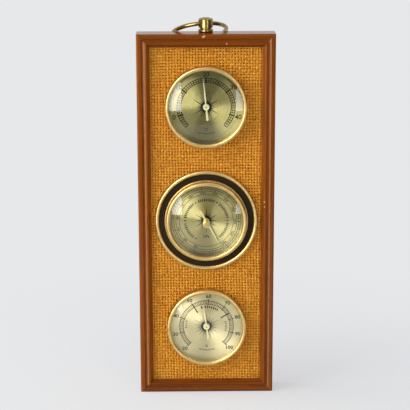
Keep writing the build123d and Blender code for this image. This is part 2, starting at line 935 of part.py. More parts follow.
keep(hand_bridge, "hand_bridge")

with BuildPart() as hairspring:
    strip = spiral_strip(
        movement_plane(bridge_front - fit_gap),
        spring_start,
        hairspring_pitch,
        hairspring_half_turns,
        hairspring_thickness,
    )
    extrude(strip, amount=hairspring_height)
keep(hairspring, "hairspring")

barometer_hub_back = dial_front(barometer_seat) - hand_gap
with BuildPart() as hand_arbor:
    with BuildSketch(movement_plane(bridge_back)):
        Circle(hand_pivot_radius)
    extrude(amount=bridge_thickness)
    with BuildSketch(movement_plane(bridge_front - fit_gap)):
        Circle(hairspring_collet_radius)
    extrude(amount=hairspring_collet - fit_gap)
    with BuildSketch(movement_plane(bridge_front)):
        Circle(hand_pivot_radius)
    extrude(amount=fit_gap)
    with BuildSketch(movement_plane(drum_back)):
        Circle(chain_drum_radius)
    extrude(amount=chain_drum_length)
    with BuildSketch(movement_plane(drum_front)):
        Circle(hand_pivot_radius)
    extrude(amount=drum_front - barometer_hub_back + hand_hub_height)
keep(hand_arbor, "hand_arbor")

with BuildPart() as barometer_hand:
    outline = hand_outline(
        facing(barometer_hub_back, barometer_height, turn=barometer_reading),
        hand_length,
        barometer_hand_width,
        barometer_hand_width,
        barometer_tail_length,
        barometer_tail_width,
    )
    extrude(outline, amount=hand_thickness)
    with BuildSketch(movement_plane(barometer_hub_back)):
        Circle(barometer_hub_radius)
    extrude(amount=hand_hub_height)
    add(hand_arbor.part, mode=Mode.SUBTRACT)
keep(barometer_hand, "barometer_hand")

# Set hand, turned by a knob through the glass
set_hub_back = barometer_hub_back - hand_hub_height - set_hand_gap
glass_inside = glass_back(barometer_seat) - glass_rise
glass_outside = glass_edge(barometer_seat) - glass_rise
collar_front = glass_inside + knob_seat_gap
knob_back = glass_outside - knob_seat_gap
knob_front = knob_back - knob_height
with BuildPart() as set_knob:
    with BuildSketch(turning(barometer_height)):
        with BuildLine():
            waist_depth = (knob_back - knob_foot + knob_front + knob_dome) / 2
            Polyline(
                (0, set_hub_back),
                (spindle_radius, set_hub_back),
                (spindle_radius, collar_front + spindle_collar),
                (spindle_collar_radius, collar_front + spindle_collar),
                (spindle_collar_radius, collar_front),
                (spindle_radius, collar_front),
                (spindle_radius, knob_back),
                (knob_radius, knob_back),
                (knob_radius, knob_back - knob_foot),
            )
            ThreePointArc(
                (knob_radius, knob_back - knob_foot),
                (knob_waist_radius, waist_depth),
                (knob_radius, knob_front + knob_dome),
            )
            RadiusArc(
                (knob_radius, knob_front + knob_dome),
                (knob_radius - knob_dome, knob_front),
                -knob_dome,
            )
            Polyline((knob_radius - knob_dome, knob_front), (0, knob_front), (0, set_hub_back))
        make_face()
    revolve(axis=depth_axis(barometer_height))
keep(set_knob, "set_knob")

with BuildPart() as set_hand:
    outline = hand_outline(
        facing(set_hub_back, barometer_height, turn=barometer_reading),
        set_hand_length,
        barometer_hand_width,
        barometer_hand_width,
        set_hand_tail_length,
        set_hand_tail_width,
    )
    extrude(outline, amount=hand_thickness)
    with BuildSketch(movement_plane(set_hub_back)):
        Circle(set_hub_radius)
    extrude(amount=hand_hub_height)
    add(set_knob.part, mode=Mode.SUBTRACT)
keep(set_hand, "set_hand")

with BuildPart() as movement_plate:
    with BuildSketch(movement_plane(plate_back)):
        Circle(plate_radius)
        Circle(capsule_stem_radius, mode=Mode.SUBTRACT)
        with Locations((-block_place, 0)):
            Circle(adjuster_shank_radius + running_gap, mode=Mode.SUBTRACT)
    extrude(amount=plate_thickness)
    add(movement_pillars.part, mode=Mode.SUBTRACT)
keep(movement_plate, "movement_plate")

with BuildPart() as barometer_bush:
    for depth, radius, length in (
        (barometer_dial_back + eyelet_collar, eyelet_radius + eyelet_collar, eyelet_collar),
        (barometer_dial_back, eyelet_radius, dial_thickness),
    ):
        with BuildSketch(movement_plane(depth)):
            Circle(radius)
            Circle(hand_pivot_radius + running_gap, mode=Mode.SUBTRACT)
        extrude(amount=length)
keep(barometer_bush, "barometer_bush")

with BuildPart() as adjuster_hole:
    with BuildSketch(movement_plane(case_back, -block_place)):
        Circle(adjuster_head_radius + rest_gap)
    extrude(amount=case_wall)

# Barometer front: a rimmed brass plate with a black band between its rim and the bezel
rim_inner = rim_radius - rim_width
with BuildPart() as barometer_rim:
    with BuildSketch(turning(barometer_height)):
        with BuildLine():
            Polyline(
                (rim_inner, jute_front - rim_side),
                (rim_inner, barometer_seat),
                (bore_radius, barometer_seat),
                (bore_radius, jute_front),
                (rim_radius, jute_front),
                (rim_radius, jute_front - rim_side),
            )
            ThreePointArc(
                (rim_radius, jute_front - rim_side),
                (rim_radius - rim_width / 2, jute_front - rim_height),
                (rim_inner, jute_front - rim_side),
            )
        make_face()
    revolve(axis=depth_axis(barometer_height))
keep(barometer_rim, "barometer_rim")

with BuildPart() as barometer_band:
    with BuildSketch(movement_plane(barometer_seat)):
        Circle(rim_inner - fit_gap)
        Circle(bezel_radius + bezel_foot_width + fit_gap, mode=Mode.SUBTRACT)
    extrude(amount=band_thickness)
keep(barometer_band, "barometer_band")

# The three instruments
for name, height, seat in (
    ("thermometer", thermometer_height, jute_front),
    ("barometer", barometer_height, barometer_seat),
    ("hygrometer", hygrometer_height, jute_front),
):
    is_barometer = name == "barometer"
    make_bezel(name, height, seat, is_barometer)
    make_glass(name, height, seat, spindle_radius + running_gap if is_barometer else 0)
    make_spacer(name, height, seat)
    make_dial(name, height, seat)
    make_brackets(name, height)

make_coil_movement("thermometer", thermometer_height, jute_front, thermometer_reading)
make_coil_movement("hygrometer", hygrometer_height, jute_front, hygrometer_reading)
make_case("barometer", barometer_height, barometer_seat, [movement_pillars.part, adjuster_hole.part])
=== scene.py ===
import math

import bpy
from mathutils import Matrix, Vector, noise


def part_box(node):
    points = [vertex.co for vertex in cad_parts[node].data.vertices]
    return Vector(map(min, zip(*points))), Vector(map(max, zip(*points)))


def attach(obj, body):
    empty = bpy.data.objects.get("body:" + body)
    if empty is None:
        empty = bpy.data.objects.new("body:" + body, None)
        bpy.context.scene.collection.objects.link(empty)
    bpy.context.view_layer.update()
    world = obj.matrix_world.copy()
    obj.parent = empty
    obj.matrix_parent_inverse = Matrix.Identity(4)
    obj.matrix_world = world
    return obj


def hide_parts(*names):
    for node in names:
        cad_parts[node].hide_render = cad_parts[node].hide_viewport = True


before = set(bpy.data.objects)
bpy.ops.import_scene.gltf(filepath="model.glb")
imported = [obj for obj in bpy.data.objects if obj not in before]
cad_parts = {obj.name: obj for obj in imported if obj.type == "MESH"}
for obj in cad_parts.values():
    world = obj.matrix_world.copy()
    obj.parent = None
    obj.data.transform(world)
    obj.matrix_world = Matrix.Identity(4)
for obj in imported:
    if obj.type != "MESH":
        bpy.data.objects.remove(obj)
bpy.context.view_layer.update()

MM = 0.001  # metres in a millimetre
PER_MM = 1000.0  # texture scale that gives a pattern a size of one millimetre
ACROSS, UPRIGHT = 0, 2  # axes that grain and threads run along
SHARE, UNDER, OVER = 0, 6, 7  # sockets of a colour Mix, which have no names of their own

bpy.context.scene.view_settings.view_transform = "Standard"


# Colours and nodes


def linear(code):
    """A colour written as sRGB hex, turned to linear with full alpha."""
    parts = [int(code[i : i + 2], 16) / 255 for i in (0, 2, 4)]
    return [p / 12.92 if p <= 0.04045 else ((p + 0.055) / 1.055) ** 2.4 for p in parts] + [1.0]


def node(tree, kind, inputs=None, **settings):
    """Add a node with its settings and links.

    An input is a value, an sRGB code, a socket, or a node whose first enabled output feeds it.
    """
    made = tree.nodes.new("ShaderNode" + kind)
    for name, value in settings.items():
        setattr(made, name, value)
    for key, value in (inputs or {}).items():
        if isinstance(value, bpy.types.Node):
            value = next(socket for socket in value.outputs if socket.enabled)
        if isinstance(value, bpy.types.NodeSocket):
            tree.links.new(value, made.inputs[key])
        else:
            made.inputs[key].default_value = linear(value) if isinstance(value, str) else value
    return made


def new_finish(name):
    """An empty material and the tree that its nodes go to."""
    finish = bpy.data.materials.new(name)
    finish.use_nodes = True
    finish.node_tree.nodes.clear()
    return finish, finish.node_tree


# Wood


def stained_wood(name, grain, tones, painted_highlight_lines, chips):
    """Moulded hardwood, stained brown and lacquered: long fibres, dark pores, pale rubbed arrises,
    painted highlight lines.
    """
    finish, tree = new_finish(name)
    place = node(tree, "TexCoord").outputs["Object"]
    # Fibres are 0.7 mm across and 40 times as long; the figure drifts over 9 mm.
    stretch = [1 / 40 if axis == grain else 1.0 for axis in range(3)]
    along = node(tree, "Mapping", {"Vector": place, "Scale": stretch})
    fibre = node(tree, "TexNoise", {"Vector": along, "Scale": PER_MM / 0.7, "Detail": 4.0})
    figure = node(
        tree,
        "TexNoise",
        {"Vector": along, "Scale": PER_MM / 9.0, "Detail": 3.0, "Distortion": 0.8},
    )
    # Pores are 0.3 mm across, drawn at 0.5 mm so that they show.
    pore = node(tree, "TexNoise", {"Vector": along, "Scale": PER_MM / 0.5, "Detail": 1.0})
    light = node(tree, "MapRange", {"Value": figure, "From Min": 0.3, "From Max": 0.7})
    streak = node(tree, "MapRange", {"Value": fibre, "From Min": 0.35, "From Max": 0.68, "To Max": 0.4})
    pit = node(tree, "MapRange", {"Value": pore, "From Min": 0.60, "From Max": 0.70, "To Max": 0.5})
    stain = node(tree, "Mix", {SHARE: light, UNDER: tones[0], OVER: tones[1]}, data_type="RGBA")
    stain = node(tree, "Mix", {SHARE: streak, UNDER: stain, OVER: tones[2]}, data_type="RGBA")
    stain = node(tree, "Mix", {SHARE: pit, UNDER: stain, OVER: "381502"}, data_type="RGBA")

    # Worn arrises: where a rounded normal leaves the true one, broken up by noise of about 4 mm.
    rounded = node(tree, "Bevel", {"Radius": 0.5 * MM}, samples=6)
    true = node(tree, "NewGeometry").outputs["Normal"]
    agree = node(tree, "VectorMath", {0: rounded, 1: true}, operation="DOT_PRODUCT")
    arris = node(tree, "MapRange", {"Value": agree, "From Min": 0.995, "From Max": 0.90})
    patchy = node(tree, "TexNoise", {"Vector": place, "Scale": PER_MM / 4.0, "Detail": 4.0})
    rubbed = node(
        tree,
        "MapRange",
        {"Value": patchy, "From Min": 0.55, "From Max": 0.75, "To Max": 0.8},
    )
    wear_and_painted_highlight = node(tree, "Math", {0: arris, 1: rubbed}, operation="MULTIPLY")
    # Painted highlight: pale lines along the moulding, 2 mm wide with soft edges,
    # where the light from the left catches the slopes of the stiles.
    beside = node(tree, "SeparateXYZ", {0: place}).outputs["X"]
    for line in painted_highlight_lines:
        off = node(tree, "Math", {0: beside, 1: line}, operation="SUBTRACT")
        off = node(tree, "Math", {0: off}, operation="ABSOLUTE")
        thin = node(
            tree,
            "MapRange",
            {"Value": off, "From Min": 1.0 * MM, "From Max": 0.4 * MM, "To Max": 0.36},
        )
        broken = node(
            tree,
            "MapRange",
            {"Value": patchy, "From Min": 0.3, "From Max": 0.6, "To Min": 0.6, "To Max": 1.0},
        )
        thin = node(tree, "Math", {0: thin, 1: broken}, operation="MULTIPLY")
        wear_and_painted_highlight = node(tree, "Math", {0: wear_and_painted_highlight, 1: thin}, operation="MAXIMUM")
    # Chips where the lacquer has broken away, a millimetre or so across.
    for spot, size in chips:
        gap = node(tree, "VectorMath", {0: place, 1: spot}, operation="DISTANCE")
        ragged = node(
            tree,
            "MapRange",
            {
                "Value": patchy,
                "From Min": 0.3,
                "From Max": 0.7,
                "To Min": 0.6 * size,
                "To Max": 1.3 * size,
            },
        )
        chip = node(tree, "Math", {0: gap, 1: ragged}, operation="LESS_THAN")
        wear_and_painted_highlight = node(tree, "Math", {0: wear_and_painted_highlight, 1: chip}, operation="MAXIMUM")
    # The rubbed arrises, the chips and the painted highlight lines take a pale wood colour.
    stain = node(tree, "Mix", {SHARE: wear_and_painted_highlight, UNDER: stain, OVER: "E4A970"}, data_type="RGBA")

    gloss = node(tree, "MapRange", {"Value": fibre, "To Min": 0.14, "To Max": 0.24})
    ridge = node(
        tree,
        "Bump",
        {"Strength": 0.1, "Distance": 0.05 * MM, "Height": fibre, "Normal": rounded},
    )
    shader = node(
        tree,
        "BsdfPrincipled",
        {
            "Base Color": stain,
            "Roughness": gloss,
            "IOR": 1.5,
            "Specular IOR Level": 0.2,
            "Normal": ridge,
        },
    )
    node(tree, "OutputMaterial", {"Surface": shader})
    return finish


def pressed_hardboard():
    """Hardboard pressed from wet fibre: matt brown, flecked with short dark and pale fibres."""
    finish, tree = new_finish("pressed_hardboard")
    place = node(tree, "TexCoord").outputs["Object"]
    # Fibres of 0.4 mm are drawn at 1.2 mm so that they show.
    fleck = node(
        tree,
        "TexNoise",
        {"Vector": place, "Scale": PER_MM / 1.2, "Detail": 5.0, "Roughness": 0.7},
    )
    cloud = node(tree, "TexNoise", {"Vector": place, "Scale": PER_MM / 25.0, "Detail": 2.0})
    mixed = node(tree, "Math", {0: fleck, 1: cloud}, operation="MULTIPLY")
    pale = node(tree, "MapRange", {"Value": mixed, "From Min": 0.15, "From Max": 0.5})
    brown = node(tree, "Mix", {SHARE: pale, UNDER: "4A2409", OVER: "74421A"}, data_type="RGBA")
    # The face towards the front, which shows between the threads, is a lighter orange brown.
    side = node(tree, "SeparateXYZ", {0: node(tree, "NewGeometry").outputs["Normal"]}).outputs["Y"]
    facing_front = node(tree, "MapRange", {"Value": side, "From Min": -0.5, "From Max": -0.9})
    brown = node(tree, "Mix", {SHARE: facing_front, UNDER: brown, OVER: "9A5212"}, data_type="RGBA")
    nap = node(tree, "Bump", {"Strength": 0.4, "Distance": 0.08 * MM, "Height": fleck})
    shader = node(
        tree,
        "BsdfPrincipled",
        {"Base Color": brown, "Roughness": 0.8, "IOR": 1.5, "Specular IOR Level": 0.3, "Normal": nap},
    )
    node(tree, "OutputMaterial", {"Surface": shader})
    return finish


# Cloth


def dyed_jute(name, run):
    """Jute yarn, loosely spun, dyed golden orange: dry, uneven fibres with pale and brown lengths."""
    finish, tree = new_finish(name)
    place = node(tree, "TexCoord").outputs["Object"]
    stretch = [1 / 6 if axis == run else 1.0 for axis in range(3)]
    along = node(tree, "Mapping", {"Vector": place, "Scale": stretch})
    # Single fibres are 0.05 mm; bundles are drawn at 0.35 mm, six times as long, so that they show.
    fibre = node(tree, "TexNoise", {"Vector": along, "Scale": PER_MM / 0.35, "Detail": 3.0})
    # The dye drifts from yarn to yarn, 3 mm apart, and along each yarn; knots of it are 2 mm across.
    drift = node(tree, "TexNoise", {"Vector": along, "Scale": PER_MM / 3.0, "Detail": 2.0})
    knot = node(tree, "TexNoise", {"Vector": place, "Scale": PER_MM / 2.0, "Detail": 2.0})
    strong = node(tree, "MapRange", {"Value": drift, "From Min": 0.3, "From Max": 0.7})
    dye = node(tree, "Mix", {SHARE: strong, UNDER: "CE8019", OVER: "E8A030"}, data_type="RGBA")
    for pattern, low, high, most, tone in (
        (knot, 0.55, 0.75, 0.75, "F2C062"),
        (knot, 0.45, 0.25, 0.8, "8A4A0C"),
        (fibre, 0.50, 0.75, 0.6, "F4BE5A"),
        (fibre, 0.42, 0.25, 0.65, "783A06"),
    ):
        part = node(
            tree,
            "MapRange",
            {"Value": pattern, "From Min": low, "From Max": high, "To Max": most},
        )
        dye = node(tree, "Mix", {SHARE: part, UNDER: dye, OVER: tone}, data_type="RGBA")
    nap = node(tree, "Bump", {"Strength": 0.7, "Distance": 0.12 * MM, "Height": fibre})
    shader = node(
        tree,
        "BsdfPrincipled",
        {"Base Color": dye, "Roughness": 0.85, "IOR": 1.45, "Specular IOR Level": 0.12, "Normal": nap},
    )
    node(tree, "OutputMaterial", {"Surface": shader})
    return finish


# Metals


def worked_metal(name, bright, dull, roughness, scratch_mm, metallic=1.0):
    """Metal, worked bright, a little tarnished: reflections, dull clouds and fine rubbed scratches."""
    finish, tree = new_finish(name)
    place = node(tree, "TexCoord").outputs["Object"]
    # Tarnish gathers in clouds about 7 mm across.
    cloud = node(tree, "TexNoise", {"Vector": place, "Scale": PER_MM / 7.0, "Detail": 4.0})
    tarnish = node(tree, "MapRange", {"Value": cloud, "From Min": 0.45, "From Max": 0.75})
    tone = node(tree, "Mix", {SHARE: tarnish, UNDER: bright, OVER: dull}, data_type="RGBA")
    rub = node(tree, "TexNoise", {"Vector": place, "Scale": PER_MM / scratch_mm, "Detail": 3.0})
    haze = node(tree, "Math", {0: rub, 1: tarnish}, operation="MULTIPLY")
    gloss = node(
        tree,
        "MapRange",
        {"Value": haze, "From Max": 0.6, "To Min": roughness, "To Max": roughness + 0.14},
    )
    rounded = node(tree, "Bevel", {"Radius": 0.15 * MM}, samples=4)
    mark = node(
        tree,
        "Bump",
        {"Strength": 0.03, "Distance": 0.03 * MM, "Height": rub, "Normal": rounded},
    )
    shader = node(
        tree,
        "BsdfPrincipled",
        {"Base Color": tone, "Metallic": metallic, "Roughness": gloss, "Normal": mark},
    )
    node(tree, "OutputMaterial", {"Surface": shader})
    return finish


def spun_dial(name, pale, deep, roughness, drawn_out):
    """Aluminium dial, spun against grit and gilt-lacquered: fine rings that gather light into cones."""
    finish, tree = new_finish(name)
    coords = node(tree, "TexCoord").outputs
    # Distance from the dial's middle, in millimetres.
    flat = node(tree, "VectorMath", {0: coords["Generated"], 1: (0.5, 0.5, 0.5)}, operation="SUBTRACT")
    flat = node(tree, "VectorMath", {0: flat, 1: dial_span}, operation="MULTIPLY")
    reach = node(tree, "VectorMath", {0: flat}, operation="LENGTH")
    # The lines are 0.02 mm apart, drawn at 0.45 mm so that they show.
    line = node(tree, "TexNoise", {"W": reach, "Scale": 1 / 0.45, "Detail": 3.0}, noise_dimensions="1D")
    cloud = node(tree, "TexNoise", {"Vector": coords["Object"], "Scale": PER_MM / 12.0, "Detail": 3.0})
    shade = node(tree, "Math", {0: line, 1: cloud}, operation="MULTIPLY")
    rich = node(tree, "MapRange", {"Value": shade, "From Min": 0.12, "From Max": 0.42})
    gilt = node(tree, "Mix", {SHARE: rich, UNDER: deep, OVER: pale}, data_type="RGBA")
    gloss = node(
        tree,
        "MapRange",
        {
            "Value": line,
            "From Min": 0.3,
            "From Max": 0.7,
            "To Min": roughness - 0.02,
            "To Max": roughness + 0.03,
        },
    )
    spun = node(tree, "Tangent", direction_type="RADIAL", axis="Y")
    shader = node(
        tree,
        "BsdfPrincipled",
        {
            "Base Color": gilt,
            "Metallic": 1.0,
            "Roughness": gloss,
            "Anisotropic": drawn_out,
            "Anisotropic Rotation": 0.25,
            "Tangent": spun,
        },
    )
    node(tree, "OutputMaterial", {"Surface": shader})
    return finish


# Paint, ink and glass


def rolled_paint(name, code, faded, roughness, fleck_mm, shine):
    """A thin coat of paint or ink, rolled on: even colour, with faint clouds where it is thinner."""
    finish, tree = new_finish(name)
    place = node(tree, "TexCoord").outputs["Object"]
    fleck = node(tree, "TexNoise", {"Vector": place, "Scale": PER_MM / fleck_mm, "Detail": 4.0})
    thin = node(tree, "MapRange", {"Value": fleck, "From Min": 0.4, "From Max": 0.8})
    coat = node(tree, "Mix", {SHARE: thin, UNDER: code, OVER: faded}, data_type="RGBA")
    gloss = node(
        tree,
        "MapRange",
        {"Value": fleck, "To Min": roughness - 0.05, "To Max": roughness + 0.08},
    )
    peel = node(tree, "Bump", {"Strength": 0.1, "Distance": 0.02 * MM, "Height": fleck})
    shader = node(
        tree,
        "BsdfPrincipled",
        {
            "Base Color": coat,
            "Roughness": gloss,
            "IOR": 1.5,
            "Specular IOR Level": shine,
            "Normal": peel,
        },
    )
    node(tree, "OutputMaterial", {"Surface": shader})
    return finish


def watch_glass():
    """Slumped soda-lime glass: clear straight through, with a mirror of the room laid over it."""
    finish, tree = new_finish("slumped_watch_glass")
    clear = node(tree, "BsdfTransparent", {"Color": "FEFFFD"})
    place = node(tree, "TexCoord").outputs["Object"]
    # Wiping marks, about 20 mm apart, soften the mirror a little.
    wipe = node(tree, "TexNoise", {"Vector": place, "Scale": PER_MM / 20.0, "Detail": 2.0})
    smear = node(tree, "MapRange", {"Value": wipe, "From Min": 0.4, "From Max": 0.8, "To Max": 0.006})
    mirror = node(tree, "BsdfGlossy", {"Color": "FFFFFF", "Roughness": smear})
    # A face met from outside mirrors, a tenth more than clean glass does; from inside it is clear.
    edge = node(tree, "Fresnel", {"IOR": 1.52})
    rear = node(tree, "NewGeometry").outputs["Backfacing"]
    front = node(tree, "MapRange", {"Value": rear, "To Min": 1.1, "To Max": 0.0})
    share = node(tree, "Math", {0: edge, 1: front}, operation="MULTIPLY", use_clamp=True)
    shader = node(tree, "MixShader", {0: share, 1: clear, 2: mirror})
    node(tree, "OutputMaterial", {"Surface": shader})
    return finish


# Places that the finishes and the new pieces take from the frame

instruments = ("thermometer", "barometer", "hygrometer")
coil_instruments = ("thermometer", "hygrometer")
dial_middles = {}
for name in instruments:
    low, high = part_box(f"{name}_dial")
    dial_middles[name] = Vector((0.0, low.y, (low.z + high.z) / 2))
# The three dials are the same size, so the last one's box gives the span of each.
dial_span = Vector((high.x - low.x, 0.0, high.z - low.z)) / MM

# Chips in the lacquer, in millimetres: on the top rail, the right outer arris and the right lip
chips = [
    (Vector((-1.7, -13.5, 379.4)) * MM, 1.0 * MM),
    (Vector((-2.9, -13.5, 378.3)) * MM, 0.9 * MM),
    (Vector((20.6, -13.9, 371.6)) * MM, 0.8 * MM),
    (Vector((69.4, -13.2, 105.0)) * MM, 1.0 * MM),
    (Vector((69.4, -13.2, 94.0)) * MM, 0.8 * MM),
    (Vector((69.4, -13.2, 31.0)) * MM, 1.0 * MM),
    (Vector((59.6, -13.4, 208.7)) * MM, 0.8 * MM),
    (Vector((59.6, -13.4, 203.4)) * MM, 0.8 * MM),
]
# Painted highlight lines along the two stiles, by their distance from the middle
painted_highlight_lines = (-62.2 * MM, 65.0 * MM)
# The rails are the same wood as the stiles; their darker tones are painted shade, where the light from
# the sides falls on them less.
stile_tones = ("682D01", "904A08", "A05A0C")
shaded_rail_tones = ("5A2601", "7C3E06", "8C4C08")
stile_wood = stained_wood("lacquered_stile_wood", UPRIGHT, stile_tones, painted_highlight_lines, chips)
shaded_rail_wood = stained_wood("lacquered_rail_wood_painted_shade", ACROSS, shaded_rail_tones, (), chips)
hardboard = pressed_hardboard()
jute_upright = dyed_jute("dyed_jute_warp", UPRIGHT)
jute_across = dyed_jute("dyed_jute_weft", ACROSS)
bezel_brass = worked_metal("spun_bezel_brass", "DFC181", "C9A55C", roughness=0.33, scratch_mm=0.5)
turned_brass = worked_metal("turned_post_brass", "A28B52", "74602F", roughness=0.28, scratch_mm=0.4)
knob_brass = worked_metal(
    "turned_knob_brass", "DFCB88", "C4AC64", roughness=0.30, scratch_mm=0.4, metallic=0.85
)
set_gilt = worked_metal(
    "stamped_gilt_set_hand", "F4E7AA", "E6D28A", roughness=0.36, scratch_mm=0.6, metallic=0.35
)
gilt_hand = worked_metal(
    "stamped_gilt_hand", "F6EAB8", "EBD698", roughness=0.40, scratch_mm=0.6, metallic=0.2
)
movement_brass = worked_metal("cut_movement_brass", "D9B662", "A98136", roughness=0.28, scratch_mm=0.5)
zinc_steel = worked_metal("zinc_plated_steel", "C3C6C8", "B2B6B9", roughness=0.30, scratch_mm=0.6)
spring_steel = worked_metal("rolled_spring_steel", "8E9299", "5F646C", roughness=0.28, scratch_mm=0.4)
bimetal = worked_metal("rolled_bimetal", "C79A5C", "9C7A55", roughness=0.30, scratch_mm=0.4)
gilt_dial = spun_dial("spun_gilt_dial", "CBBF84", "B2A66E", roughness=0.29, drawn_out=0.97)
warm_dial = spun_dial("spun_warm_dial", "DACC92", "C4B67E", roughness=0.31, drawn_out=0.94)
pale_dial = spun_dial("spun_pale_dial", "EDDEB1", "D9CAA0", roughness=0.42, drawn_out=0.78)
black_band = rolled_paint(
    "rolled_black_band", "241806", "38280F", roughness=0.6, fleck_mm=1.2, shine=0.1
)
scale_ink = rolled_paint(
    "printed_scale_ink", "12100B", "28241A", roughness=0.55, fleck_mm=0.6, shine=0.3
)
ring_card = rolled_paint(
    "coated_spacer_card", "C9BD93", "B3A678", roughness=0.6, fleck_mm=1.0, shine=0.3
)
glass = watch_glass()

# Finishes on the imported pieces

finishes = {
    stile_wood: ["left_stile", "right_stile"],
    shaded_rail_wood: ["top_rail", "bottom_rail"],
    hardboard: ["back_board"],
    turned_brass: ["hanger_post", "hanger_ring"],
    bezel_brass: ["barometer_rim"] + [f"{name}_bezel" for name in instruments],
    knob_brass: ["set_knob"],
    set_gilt: ["set_hand"],
    gilt_hand: [f"{name}_hand" for name in instruments],
    black_band: ["barometer_band"],
    gilt_dial: ["thermometer_dial"],
    warm_dial: ["barometer_dial"],
    pale_dial: ["hygrometer_dial"],
    ring_card: [f"{name}_spacer" for name in instruments],
    glass: [f"{name}_glass" for name in instruments],
    zinc_steel: ["corner_nails", "panel_brads", "bracket_screws", "hanger_stud"]
    + [f"{name}_case" for name in instruments]
    + [f"{name}_brackets" for name in instruments],
    bimetal: [f"{name}_coil" for name in coil_instruments],
    spring_steel: ["main_spring", "hairspring", "chain", "hand_arbor", "rocker", "adjusting_screw"]
    + [f"{name}_arbor" for name in coil_instruments],
    movement_brass: [
        "barometer_bush",
        "movement_plate",
        "movement_pillars",
        "aneroid_capsule",
        "spring_block",
        "main_lever",
        "rocker_cradle",
        "hand_bridge",
    ]
    + [f"{name}_{part}" for name in coil_instruments for part in ("bushes", "anchor")],
}
for finish, names in finishes.items():
    for name in names:
        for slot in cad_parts[name].material_slots:
            slot.material = finish


def add_piece(name, points, faces, finish, body, smooth=False):
    """A new piece from points and faces, riding on a body."""
    mesh = bpy.data.meshes.new(name)
    mesh.from_pydata(points, [], faces)
    mesh.materials.append(finish)
    mesh.polygons.foreach_set("use_smooth", [smooth] * len(mesh.polygons))
    mesh.update()
    made = bpy.data.objects.new(name, mesh)
    bpy.context.scene.collection.objects.link(made)
    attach(made, body)
    return made


# Woven jute

cloth_low, cloth_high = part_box("jute_cloth")
cloth_middle = (cloth_low.y + cloth_high.y) / 2
cloth_thickness = cloth_high.y - cloth_low.y
thread_pitch = 3.0 * MM
thread_half_width = 1.0 * MM
thread_half_depth = 0.23 * cloth_thickness
crimp = 0.26 * cloth_thickness
thick_by_thread = 0.16  # how far threads differ in thickness
thick_by_length = 0.36  # how far the thickness changes along a thread
thread_bow = 1.1 * MM
thread_wander = 0.45 * MM
steps_per_pitch = 4
bore = 35.3 * MM
thread_section = [(1.0, 0.0), (0.55, -1.0), (-0.55, -1.0), (-1.0, 0.0), (-0.55, 1.0), (0.55, 1.0)]


def in_a_bore(right, up):
    """Whether a place on the cloth is within one of the three openings."""
    return any(math.hypot(right, up - middle.z) < bore for middle in dial_middles.values())


def weave(name, finish, upright):
    """One set of the cloth's threads, over and under the other set, cut away at the three bores."""
    across_axis, run_axis = (ACROSS, UPRIGHT) if upright else (UPRIGHT, ACROSS)
    count = round((cloth_high[across_axis] - cloth_low[across_axis]) / thread_pitch)
    run = cloth_high[run_axis] - cloth_low[run_axis]
    samples = round(run / thread_pitch) * steps_per_pitch
    sides = len(thread_section)
    points, faces = [], []
    for thread in range(count):
        level = cloth_low[across_axis] + thread_pitch * (thread + 0.5)
        previous = False
        for step in range(samples + 1):
            along = cloth_low[run_axis] + run * step / samples
            # Thick and thin lengths, a slow bow of the whole thread and a small wander.
            seed = Vector((thread * 7.3, along / (9 * MM), 3.0 if upright else 11.0))
            own_seed = Vector((thread * 3.7, 0.5, seed.z))
            slub = 1 + thick_by_thread * noise.noise(own_seed) + thick_by_length * noise.noise(seed)
            bow_seed = Vector((level / (60 * MM), along / (45 * MM), seed.z))
            bow = thread_bow * noise.noise(bow_seed)
            drift = level + bow + thread_wander * noise.noise(seed + Vector((0, 0, 5.0)))
            spot = (drift, along) if upright else (along, drift)
            if in_a_bore(*spot):
                if previous:
                    faces.append([len(points) - sides + side for side in range(sides)][::-1])
                previous = False
                continue
            wave = math.cos(math.pi * ((along - cloth_low[run_axis]) / thread_pitch - 0.5 + thread))
            depth = cloth_middle + crimp * (wave if upright else -wave)
            for wide, deep in thread_section:
                place = [0.0, depth + deep * thread_half_depth, 0.0]
                place[across_axis] = drift + wide * thread_half_width * slub
                place[run_axis] = along
                points.append(place)
            start = len(points) - sides
            if previous:
                before = start - sides
                for side in range(sides):
                    turn = (side + 1) % sides
                    faces.append([before + side, before + turn, start + turn, start + side])
            else:
                faces.append([start + side for side in range(sides)])
            previous = True
        if previous:
            faces.append([len(points) - sides + side for side in range(sides)][::-1])
    if upright:
        faces = [face[::-1] for face in faces]
    return add_piece(name, points, faces, finish, "station", smooth=True)


jute_warp = weave("jute_warp", jute_upright, True)
jute_weft = weave("jute_weft", jute_across, False)
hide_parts("jute_cloth")

# Printed scales

ink_film = 0.05  # millimetres that the printing stands proud of the dial
ray_tip = 0.06  # millimetres across the point of a ray


